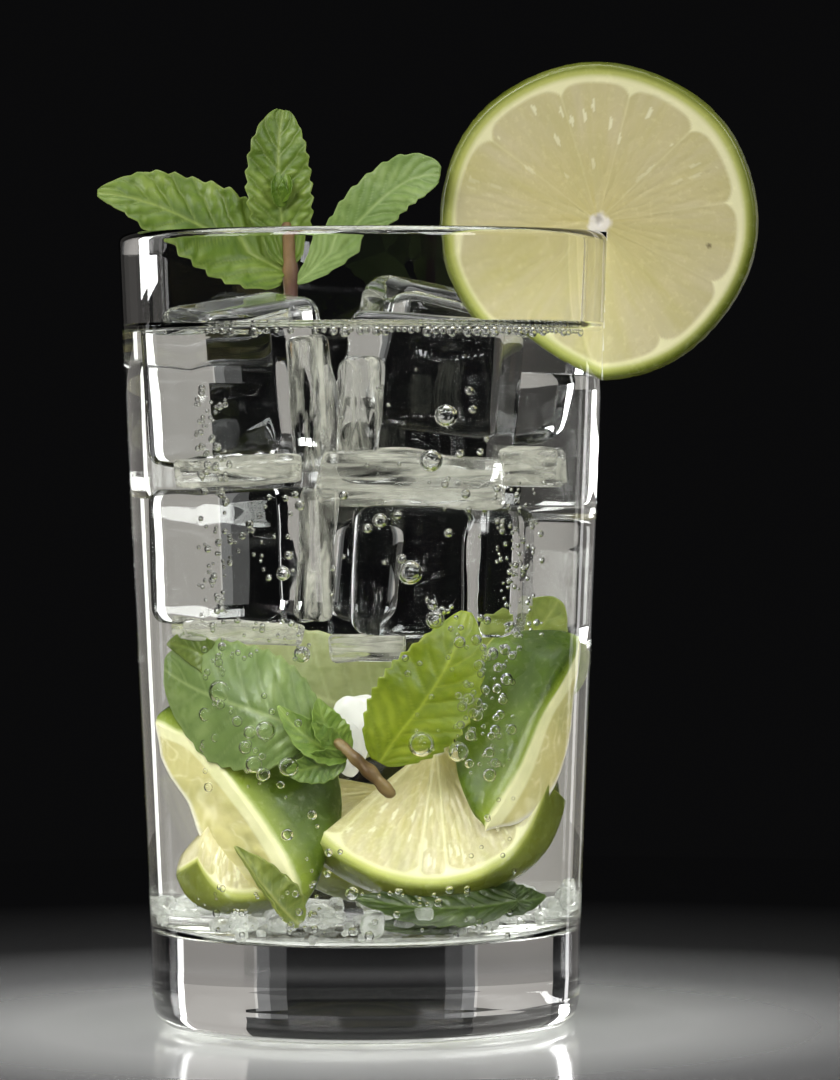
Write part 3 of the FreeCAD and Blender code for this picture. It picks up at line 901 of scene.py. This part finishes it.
# ------------------------------------------------------------------ lime wedges, sunk
def wedge(name, E, O, K, seed=1, nt=110, bulge=2.0, ends=(0.0, 0.0), cell_n=500):
    """A lime wedge lofted along its length between three lines: E the rind's edge that shows, O the far edge of the rind, K the core edge."""
    def line(P):
        q = np.array(smooth_line([seen(*c) for c in P], 16))
        s = np.linspace(0, len(q) - 1, nt)
        i = np.clip(s.astype(int), 0, len(q) - 2)
        f = (s - i)[:, None]
        return q[i] * (1 - f) + q[i + 1] * f

    e, o, k = line(E), line(O), line(K)
    nr, nc, nb = 40, 34, 12
    verts, cols = [], []
    for i in range(nt):
        t = i / (nt - 1)
        pinch = min(1.0, math.sin(math.pi * min(max(t, 0.0), 1.0)) * 3.0)
        c = (e[i] + o[i] + k[i]) / 3
        E_, O_, K_ = [c + (q - c) * (pinch ** 0.5 if pinch < 1 else 1) for q in (e[i], o[i], k[i])]
        chord = O_ - E_
        out = (E_ + O_) / 2 - K_
        ln = np.linalg.norm(out)
        out = out / ln if ln > 1e-6 else np.array([0, -1.0, 0])
        wdt = np.linalg.norm(chord)
        for j in range(nr):
            u = j / nr
            p = E_ + chord * u + out * (bulge * 4 * u * (1 - u)) * min(1, wdt / 8)
            d = u * wdt
            pt = p[None]
            dim = 0.10 * float(np.clip(noise3(pt, 0.9, seed)[0], -1, 0.3))
            verts.append(tuple(p + out * dim))
            big = float(noise3(pt, 7.0, seed + 5)[0])
            fine = float(noise3(pt, 1.2, seed + 9)[0])
            c1 = lerp(srgb(98, 120, 30), srgb(52, 74, 12), 0.5 + 0.5 * big + 0.14 * fine)
            c1 = lerp(srgb(150, 168, 62), c1, (d - 0.5) / 3.2)
            c1 = lerp(PITH, c1, (d - 0.25) / 0.7)
            cols.append(tuple(c1))
        for j in range(nb):
            u = j / nb
            p = O_ * (1 - u) + K_ * u
            verts.append(tuple(p))
            cols.append(tuple(lerp(RIND_IN, PULP_A, u * 4)))
        wk = np.linalg.norm(E_ - K_)
        for j in range(nc):
            u = j / nc
            p = K_ * (1 - u) + E_ * u
            d = (1 - u) * wk
            n_ = np.cross(E_ - K_, e[min(i + 1, nt - 1)] - e[max(i - 1, 0)])
            n_ /= max(np.linalg.norm(n_), 1e-6)
            pt = p[None]
            pulp = min(max((d - 2.0) / 0.6, 0), 1)
            cell = float(noise3(pt * np.array([1.0, 1.0, 1.0]), 1.5, seed + 2)[0])
            verts.append(tuple(p + n_ * (0.22 * cell * pulp)))
            cc = lerp(srgb(232, 222, 160), srgb(246, 238, 196), 0.55 + 0.35 * cell + 0.2 * float(noise3(pt, 5.0, seed + 3)[0]))
            ridge = max(0.0, 1 - abs(float(noise3(pt, 2.3, seed + 17)[0])) / 0.16)
            cc = lerp(cc, srgb(196, 184, 104), (1 - ridge) * 0.55)
            cc = lerp(PITH, cc, pulp * 0.9)
            cc = lerp(cc, CORE, (1.3 - u * wk) / 1.0)
            cols.append(tuple(cc))
    m = nr + nb + nc
    faces = []
    for i in range(nt - 1):
        for j in range(m):
            q = (j + 1) % m
            faces.append((i * m + j, i * m + q, (i + 1) * m + q, (i + 1) * m + j))
    faces.append(tuple(range(m - 1, -1, -1)))
    faces.append(tuple(range((nt - 1) * m, nt * m)))
    ob = build(name, verts, faces, MAT["wedge"], colour=np.array(cols))
    fix_normals(ob)
    inside(ob)
    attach(ob, "root")
    return ob


for name in ("ice_right", "ice_low_right", "ice_back_left"):
    inside(ice_objects[name])
wedge("lime_wedge_left",
      E=[(152, 727, -12), (192, 744, -21), (238, 794, -25), (275, 846, -26), (291, 879, -26), (301, 914, -25)],
      O=[(160, 700, -6), (255, 676, -12), (326, 745, -18), (342, 811, -19), (322, 862, -20), (304, 915, -22)],
      K=[(150, 740, -9), (158, 770, -14), (184, 800, -17), (200, 838, -19), (240, 882, -21), (298, 916, -23)], seed=3)
wedge("lime_wedge_right",
      E=[(592, 644, -9), (583, 672, -15), (556, 712, -20), (530, 766, -23), (506, 803, -25), (485, 830, -26)],
      O=[(520, 612, -6), (482, 650, -14), (458, 715, -19), (456, 765, -22), (468, 803, -24), (484, 830, -25)],
      K=[(596, 652, -8), (592, 694, -12), (586, 740, -15), (566, 790, -18), (530, 818, -21), (487, 832, -24)], seed=7)


def slice_piece(name, R, T, bounds, seed, sector, at, yaw, pitch, roll=0.0, sx=0.92):
    o = lime_disc(name, R, T, bounds, seed, sector=sector, nr=70, nt=420, mat=MAT["wedge"], bulge=0.9)
    place(o, yaw=yaw, pitch=pitch, roll=roll, at=at, scale=(sx, 1, 1))
    inside(o)
    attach(o, "root")
    return o


# sectors count clockwise from the top as seen from the front
R4 = 25.5
slice_piece("lime_slice_front", R4, 8.5, [math.radians(a) for a in (100, 136, 174, 186, 224, 262, 300, 340, 20, 60)], 21,
            (math.radians(109), math.radians(229)), seen(436, 748, -13.0), 2.0, -20.0)
slice_piece("lime_slice_left", 18.8, 8.0, [math.radians(a) for a in (0, 40, 80, 120, 168, 205, 246, 290, 325)], 33,
            (math.radians(140), math.radians(229)), seen(232, 800, -14.0), 6.0, -18.0)
slice_piece("lime_slice_back", 19.0, 7.0, [math.radians(a) for a in (5, 40, 80, 120, 160, 196, 230, 262, 298, 330)], 41,
            (math.radians(75), math.radians(285)), (3.0, 12.0, 38.0), 14.0, -24.0)


# ------------------------------------------------------------------ mint, sunk
def P(*pts):
    return [seen(*p) for p in pts]


wet = []
# pale, bluish leaf that lies over the left wedge
wet.append(leaf("w1", P((318, 738, -27), (280, 712, -29.5), (215, 706, -26), (152, 668, -15)), 21.0, (-0.25, -0.95, 0.25), teeth=12, tooth=0.03, cup=-0.05, pucker=0.35,
                dark=srgb(84, 106, 48), mid=srgb(118, 138, 76), light=srgb(160, 174, 120), seed=11, peak=0.55, sharp=0.55))
# bright leaf in the middle, lit from behind
wet.append(leaf("w2", P((378, 764, -27), (408, 713, -29), (448, 689, -29), (467, 608, -25)), 15.4, (0.1, -1.0, 0.0), teeth=13, tooth=0.045, cup=0.03, pucker=0.22,
                dark=srgb(92, 110, 4), mid=srgb(120, 136, 12), light=srgb(166, 176, 64), seed=12, twist=-8.0, peak=0.47, sharp=0.72))
# small bright leaves at the tip of the stalk
wet.append(leaf("w3", P((350, 752, -26.5), (332, 738, -28), (322, 722, -28.5), (318, 697, -27.5)), 5.6, (0.3, -0.9, 0.1), teeth=7, cup=0.2, pucker=0.25,
                dark=srgb(84, 110, 36), mid=srgb(114, 140, 56), light=srgb(160, 178, 94), seed=13, nu=70, nv=24))
wet.append(leaf("w4", P((348, 755, -27), (325, 748, -29), (305, 742, -29.5), (277, 704, -28)), 6.4, (0.0, -0.9, 0.4), teeth=7, cup=0.2, pucker=0.25,
                dark=srgb(84, 110, 36), mid=srgb(110, 136, 56), light=srgb(158, 176, 94), seed=14, nu=70, nv=24))
wet.append(leaf("w5", P((346, 757, -27.5), (326, 764, -29.5), (304, 770, -29.5), (284, 772, -29)), 5.4, (0.0, -0.9, -0.2), teeth=6, cup=0.2, pucker=0.25,
                dark=srgb(76, 102, 34), mid=srgb(100, 126, 50), light=srgb(148, 166, 86), seed=15, nu=70, nv=24))
# folded olive leaf at the lower left
wet.append(leaf("w6", P((300, 926, -26), (284, 905, -28), (262, 880, -27.5), (231, 845, -25)), 6.8, (0.55, -0.8, 0.2), teeth=7, cup=0.35, pucker=0.2,
                dark=srgb(88, 104, 34), mid=srgb(122, 134, 56), light=srgb(170, 172, 96), seed=16, nu=80, nv=24))
# dark leaves under the front slice: their own deep green, darkened further as painted shade under the slice
wet.append(leaf("w7", P((520, 900, -20), (470, 908, -25), (420, 912, -26), (352, 896, -22)), 9.0, (0.0, -0.75, 0.6), teeth=9, cup=0.1, pucker=0.45,
                dark=srgb(38, 54, 14), mid=srgb(58, 76, 26), light=srgb(104, 122, 66), seed=17))
wet.append(leaf("w8", P((430, 905, -18), (470, 925, -22), (420, 935, -24), (372, 925, -20)), 7.0, (0.1, -0.8, 0.3), teeth=9, cup=0.1, pucker=0.45,
                dark=srgb(36, 52, 14), mid=srgb(54, 72, 26), light=srgb(96, 114, 64), seed=18))
wet.append(leaf("w9", P((455, 890, -17), (495, 898, -21), (525, 905, -20), (548, 895, -15)), 6.0, (-0.1, -0.8, 0.3), teeth=7, cup=0.1, pucker=0.45,
                dark=srgb(40, 56, 16), mid=srgb(64, 84, 32), light=srgb(104, 124, 68), seed=19))
# leaves further back
wet.append(leaf("w10", P((478, 700, 6), (505, 660, 4), (530, 640, 2), (560, 596, 0)), 15.0, (-0.1, -1.0, 0.2), teeth=9, cup=0.1, pucker=0.3,
                dark=srgb(108, 120, 46), mid=srgb(130, 140, 64), light=srgb(162, 168, 102), seed=20, sharp=0.6))
wet.append(leaf("w11", P((408, 728, 6), (330, 690, 4), (250, 680, 4), (180, 640, 6)), 20.0, (0.1, -1.0, 0.2), teeth=9, tooth=0.02, cup=0.1, pucker=0.2,
                dark=srgb(140, 146, 104), mid=srgb(156, 160, 122), light=srgb(184, 186, 152), seed=21, sharp=0.5))
wet.append(leaf("w12", P((576, 690, 4), (560, 670, 6), (540, 665, 6), (500, 700, 8)), 14.0, (0.1, -1.0, 0.2), teeth=9, tooth=0.02, cup=0.1, pucker=0.2,
                dark=srgb(140, 148, 100), mid=srgb(156, 164, 118), light=srgb(184, 188, 148), seed=22, sharp=0.5))
# dark edge of a leaf behind the pale one
wet.append(leaf("w13", P((232, 676, -20), (206, 652, -22), (184, 643, -22), (154, 644, -17)), 6.0, (-0.1, -0.95, 0.2), teeth=8, tooth=0.03, cup=0.1, pucker=0.3,
                dark=srgb(72, 90, 20), mid=srgb(96, 112, 36), light=srgb(136, 148, 76), seed=23, nu=80, nv=24))
mint_wet = join("mint_leaves_wet", wet)
mint_wet.data.materials.clear()
mint_wet.data.materials.append(MAT["leaf_wet"])
inside(mint_wet)
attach(mint_wet, "root")

stalk = tube("mint_stalk_wet", P((338, 742, -27.5), (352, 754, -28.5), (364, 766, -29), (378, 780, -29), (390, 792, -28.5)), [0.75, 0.88, 0.92, 0.95, 1.18, 0.95, 1.0, 1.02], MAT["leaf_wet"],
             (srgb(98, 72, 44), srgb(150, 126, 88)), rough=0.09)
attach(stalk, "root")


# ------------------------------------------------------------------ bubbles
def balls(name, centres, radii, sub, mat):
    bm = bmesh.new()
    bmesh.ops.create_icosphere(bm, subdivisions=sub, radius=1.0)
    base = np.array([v.co[:] for v in bm.verts])
    bf = np.array([[v.index for v in f.verts] for f in bm.faces])
    bm.free()
    verts, faces = [], []
    for i, (c, r) in enumerate(zip(centres, radii)):
        verts.append(base * r + np.array(c))
        faces.append(bf + i * len(base))
    o = build(name, np.concatenate(verts), np.concatenate(faces), mat)
    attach(o, "root")
    return o


rings = [(190, 693, 24), (258, 731, 20), (242, 765, 18), (255, 775, 14), (285, 767, 20), (302, 654, 16), (238, 733, 13), (423, 744, 25), (466, 752, 20),
         (506, 776, 14), (435, 619, 18), (463, 642, 12), (478, 736, 11), (504, 753, 11), (222, 722, 11), (232, 748, 14), (284, 835, 12), (507, 654, 13),
         (530, 680, 13), (516, 668, 10), (352, 893, 13), (169, 716, 15), (446, 415, 22), (410, 572, 24), (431, 460, 22), (380, 520, 14), (300, 505, 10), (283, 573, 14)]
rng = np.random.default_rng(5)
cent, rad = [], []
for x, y, d in rings:
    c = np.array(seen(x, y, -31.5 + 0.6 * rng.random()))
    r = d * 0.1646 / 2
    ri = radius_in(c[2]) - r - 0.1
    h = math.hypot(c[0], c[1])
    if h > ri:
        c[:2] *= ri / h
    cent.append(c)
    rad.append(r)
balls("bubbles_large", cent, rad, 4, MAT["bubble"])


def kept(c, r, gap=0.15):
    """Moves a ball inside the wall and above the floor of the glass."""
    c = np.array(c, float)
    ri = radius_in(c[2]) - r - gap - 0.25
    h = math.hypot(c[0], c[1])
    if h > ri:
        c[:2] *= ri / h
    c[2] = max(c[2], FLOOR_Z + r + 0.1)
    return c


def scatter(boxes, seed):
    g = np.random.default_rng(seed)
    cs, rs = [], []
    for x0, y0, x1, y1, n, r0, r1 in boxes:
        for _ in range(n):
            r = r0 + (r1 - r0) * g.random() ** 2.2
            c = kept(seen(x0 + (x1 - x0) * g.random(), y0 + (y1 - y0) * g.random(), -33.5), r)
            cs.append(c)
            rs.append(r)
    return cs, rs


cs, rs = scatter([(468, 618, 562, 770, 70, 0.3, 1.0), (430, 600, 470, 640, 8, 0.35, 0.9), (160, 640, 300, 800, 34, 0.25, 0.9), (400, 650, 470, 760, 16, 0.25, 0.6),
                  (300, 800, 340, 900, 10, 0.3, 0.9), (480, 760, 560, 880, 14, 0.3, 0.7), (155, 890, 570, 940, 70, 0.25, 0.8)], 3)
balls("bubbles_fruit", cs, rs, 3, MAT["bubble"])
cs, rs = scatter([(160, 385, 212, 625, 105, 0.28, 0.72), (512, 480, 588, 640, 85, 0.25, 0.6), (212, 480, 300, 620, 22, 0.3, 0.7), (330, 350, 500, 600, 34, 0.3, 0.9),
                  (150, 620, 340, 660, 30, 0.28, 0.6)], 8)
balls("bubbles_ice", cs, rs, 3, MAT["bubble"])
# a ring of bubbles where the drink meets the wall
g = np.random.default_rng(12)
cs, rs = [], []
az = -48.0
while az < 66:
    r = 0.42 + 0.5 * g.random() ** 1.5
    az += math.degrees(1.7 * r / 36.0) + g.random() * (0.5 if az > -10 else 5.0)
    rr = radius_in(LEVEL) - r - 0.35
    cs.append((rr * math.sin(math.radians(az)), -rr * math.cos(math.radians(az)), LEVEL - r * 0.75))
    rs.append(r)
balls("bubbles_edge", cs, rs, 3, MAT["bubble"])


def frost(name, thick=0.55, rough=0.25, tint=(0.93, 0.94, 0.90)):
    """Crushed ice: part clear, part white and cloudy."""
    m = Nodes(name)
    tc = m.add("TexCoord").outputs["Object"]
    n1 = m.noise(260.0, 4.0, tc)
    c = m.ramp(n1, [(0.35, tuple(0.86 * q for q in tint)), (0.65, tint)])
    p = m.add("BsdfPrincipled", Base__Color=(0.98, 0.99, 0.98), Roughness=rough, IOR=1.12, Transmission__Weight=1.0)
    d = m.add("BsdfTranslucent", Color=c)
    e = m.add("BsdfDiffuse", Color=c)
    y = m.add("MixShader", Fac=0.45)
    m.link(d.outputs[0], y.inputs[1])
    m.link(e.outputs[0], y.inputs[2])
    x = m.add("MixShader")
    m.link(m.ramp(n1, [(0.30, (thick - 0.25,) * 3), (0.70, (thick + 0.25,) * 3)]), x.inputs[0])
    m.link(p.outputs[0], x.inputs[1])
    m.link(y.outputs[0], x.inputs[2])
    b = m.add("Bump", Strength=0.5, Distance=0.0004, Height=n1)
    m.link(b.outputs[0], p.inputs["Normal"])
    t = m.add("BsdfTransparent", Color=(0.8, 0.8, 0.8))
    lp = m.add("LightPath")
    z = m.add("MixShader")
    m.link(lp.outputs["Is Shadow Ray"], z.inputs[0])
    m.link(x.outputs[0], z.inputs[1])
    m.link(t.outputs[0], z.inputs[2])
    m.link(z.outputs[0], m.out.inputs[0])
    return m.mat


MAT["crushed"] = frost("ice_crushed", thick=0.16)
# white frosted ice, used below as painted light where light shows through from behind
MAT["snow"] = frost("ice_white_painted_backlight", thick=0.75, rough=0.4, tint=(0.97, 0.96, 0.95))


def lumps(name, centres, radii, mat, sub=3, wave=0.35, seed=1, squash=1.0):
    bm = bmesh.new()
    bmesh.ops.create_icosphere(bm, subdivisions=sub, radius=1.0)
    base = np.array([v.co[:] for v in bm.verts])
    bf = np.array([[v.index for v in f.verts] for f in bm.faces])
    bm.free()
    g = np.random.default_rng(seed)
    verts, faces = [], []
    for i, (c, r) in enumerate(zip(centres, radii)):
        q = base * (1 + wave * noise3(base * 1.0 + i * 5.1, 0.8, seed + i)[:, None] + 0.1 * noise3(base + i * 3.1, 0.35, seed + i)[:, None])
        st = 0.75 + 0.5 * g.random(3)
        q = np.sign(q) * np.abs(q) ** 0.85 * st * np.array([1, 1, squash])
        verts.append(q * r + np.array(c))
        faces.append(bf + i * len(base))
    o = build(name, np.concatenate(verts), np.concatenate(faces), mat)
    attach(o, "root")
    return o


g = np.random.default_rng(21)
cs, rs = [], []
for _ in range(150):
    r = 0.6 + 1.5 * g.random() ** 2
    a, d = g.random() * 2 * math.pi, 31.5 * math.sqrt(g.random())
    cs.append(kept((d * math.cos(a), d * math.sin(a), FLOOR_Z + 0.3 + r + 4.6 * g.random() ** 1.6), r * 1.35))
    rs.append(r)
lumps("ice_crushed_floor", cs, rs, MAT["crushed"], seed=5)


def streaky(name, stretch, low=0.46, high=0.66, most=0.85, pale=(0.47, 0.46, 0.405)):
    """Ice with cloudy streaks frozen into it, drawn out along the axis with the small stretch."""
    m = Nodes(name)
    tc = m.add("TexCoord").outputs["Object"]
    mp = m.add("Mapping", Vector=tc, Scale=stretch)
    n1 = m.noise(1.0, 3.0, mp.outputs[0], dist=0.6)
    n2 = m.noise(520.0, 3.0, tc)
    p = m.add("BsdfPrincipled", Base__Color=(0.985, 0.99, 0.985), Roughness=0.03, IOR=1.13, Transmission__Weight=1.0)
    b = m.add("Bump", Strength=0.6, Distance=0.0006, Height=n1)
    m.link(b.outputs[0], p.inputs["Normal"])
    c = m.mix(m.ramp(n2, [(0.4, (0, 0, 0)), (0.7, (1, 1, 1))]), pale, tuple(0.72 * q for q in pale))
    d = m.add("BsdfDiffuse", Color=c)
    e = m.add("BsdfTranslucent", Color=c)
    y = m.add("MixShader", Fac=0.4)
    m.link(d.outputs[0], y.inputs[1])
    m.link(e.outputs[0], y.inputs[2])
    x = m.add("MixShader")
    m.link(m.ramp(n1, [(low, (0.0,) * 3), ((low + high) / 2, (most * 0.45,) * 3), (high, (most,) * 3)]), x.inputs[0])
    m.link(p.outputs[0], x.inputs[1])
    m.link(y.outputs[0], x.inputs[2])
    t = m.add("BsdfTransparent", Color=(0.85, 0.85, 0.85))
    lp = m.add("LightPath")
    z = m.add("MixShader")
    m.link(lp.outputs["Is Shadow Ray"], z.inputs[0])
    m.link(x.outputs[0], z.inputs[1])
    m.link(t.outputs[0], z.inputs[2])
    m.link(z.outputs[0], m.out.inputs[0])
    return m.mat


MAT["cloud_v"] = streaky("ice_streaks_upright", (620.0, 620.0, 60.0))
MAT["cloud_h"] = streaky("ice_streaks_flat", (70.0, 300.0, 620.0), low=0.40, high=0.60, most=0.8)
SHARDS = [
    # size, place seen, turn, rounding, material
    ((6.2, 6.0, 22.0), (312, 398, -15.0), (4, 2, -5), 1.5, "cloud_v"),
    ((5.4, 6.0, 21.0), (316, 553, -14.5), (-6, -3, 3), 1.3, "cloud_v"),
    ((26.0, 7.0, 8.6), (414, 479, -17.0), (3, 8, 4), 1.2, "cloud_h"),
    ((20.0, 6.0, 4.6), (232, 470, -18.0), (14, 3, -4), 0.9, "cloud_h"),
    ((10.5, 6.0, 4.6), (366, 646, -17.0), (0, 6, -3), 0.9, "cloud_h"),
    ((22.0, 6.0, 3.6), (228, 630, -17.5), (12, 3, 3), 0.8, "cloud_h"),
    ((11.5, 6.0, 6.4), (532, 466, -14.0), (-14, 3, 2), 1.2, "cloud_h"),
    ((6.0, 5.0, 15.5), (359, 408, -16.0), (0, 2, 3), 1.6, "cloud_v"),
]
for i, (size, at, turn, edge, kind) in enumerate(SHARDS):
    q, f = rounded_box(size, edge, n=18, wave=0.9, seed=40 + i)
    o = build("ice_shard_%d" % (i + 1), turned(q, *turn, seen(*at)), f, MAT[kind])
    fix_normals(o)
    inside(o)
    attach(o, "root")
# painted light: white frosted lumps stand where light shows through from behind, between the leaves
lumps("ice_lump_painted_backlight", [seen(353, 728, -13.0), seen(348, 745, -14.0), seen(362, 712, -12.0)], [3.6, 3.2, 2.6], MAT["snow"], sub=4, wave=0.30, seed=2, squash=1.25)

# ------------------------------------------------------------------ lights, floor
def area(name, at, to, size, power, colour=(1, 1, 1), hide=True):
    d = bpy.data.lights.new(name, "AREA")
    d.shape = "RECTANGLE"
    d.size, d.size_y = size
    d.energy = power
    d.color = colour
    o = bpy.data.objects.new(name, d)
    scene.collection.objects.link(o)
    o.location = at
    o.rotation_euler = (Vector(to) - Vector(at)).to_track_quat("-Z", "Y").to_euler()
    o.visible_camera = not hide
    return o


PALE = (1.0, 0.95, 0.895)
for side in (-1, 1):
    area("panel_low", (0.62 * side, 0.95, -0.095), (0, 0, -0.095), (0.55, 0.39), 0.286, PALE)
    area("soft_a", (0.315 * side, 0.95, -0.095), (0.315 * side, 0, -0.095), (0.06, 0.39), 0.0147)
    area("soft_b", (0.255 * side, 0.95, -0.095), (0.255 * side, 0, -0.095), (0.06, 0.39), 0.006)
area("panel_high_left", (-0.62, 0.95, 0.355), (0, 0, 0.355), (0.55, 0.51), 0.05, PALE)
area("panel_high_right", (0.646, 0.933, 0.355), (0.0264, -0.0172, 0.355), (0.487, 0.51), 0.331, PALE)
area("edge_left", (-0.69, 0.44, 0.25), (0, 0, 0.25), (0.15, 0.28), 1.6)
area("edge_left_low", (-0.69, 0.44, 0.04), (0, 0, 0.04), (0.05, 0.12), 0.018)
area("edge_right", (0.56, 0.56, 0.16), (0, 0, 0.16), (0.05, 0.5), 0.14)
area("top", (0.05, 0.1, 1.0), (0, 0, 0.1), (0.8, 0.8), 6.0)
area("key", (-0.5, -0.9, 0.7), (0.01, 0, 0.10), (0.6, 0.6), 13.0)
area("fill", (0.7, -0.8, 0.5), (0.01, 0, 0.10), (0.5, 0.5), 6.0)
area("low", (-0.85, -0.35, 0.45), (0.0, 0, 0.04), (0.4, 0.3), 2.0)

world = bpy.data.worlds.new("studio")
scene.world = world
world.use_nodes = True
world.node_tree.nodes["Background"].inputs[0].default_value = (0.0032, 0.0032, 0.0034, 1)
world.node_tree.nodes["Background"].inputs[1].default_value = 1.0

m = Nodes("floor_painted_light_pool")
tc = m.add("TexCoord").outputs["Object"]
ln = m.add("VectorMath", _operation="LENGTH")
m.link(tc, ln.inputs[0])
# painted pool of light: the floor is pale round the glass and fades to near black further out
c = m.ramp(ln.outputs["Value"], [(0.0, (0.58, 0.58, 0.57)), (0.055, (0.54, 0.54, 0.53)), (0.09, (0.22, 0.22, 0.22)), (0.14, (0.032, 0.032, 0.032)), (0.23, (0.0022, 0.0022, 0.0024))])
p = m.add("BsdfPrincipled", Base__Color=c, Roughness=0.12, Specular__IOR__Level=0.5)
m.link(p.outputs[0], m.out.inputs[0])
v, f = revolve([(0, -0.02), (40, -0.02), (120, -0.02), (340, -0.02)], 96)
floor = build("floor", v, f, m.mat)

scene.view_settings.view_transform = "Standard"
scene.cycles.max_bounces = 24
scene.cycles.transmission_bounces = 24
scene.cycles.transparent_max_bounces = 24
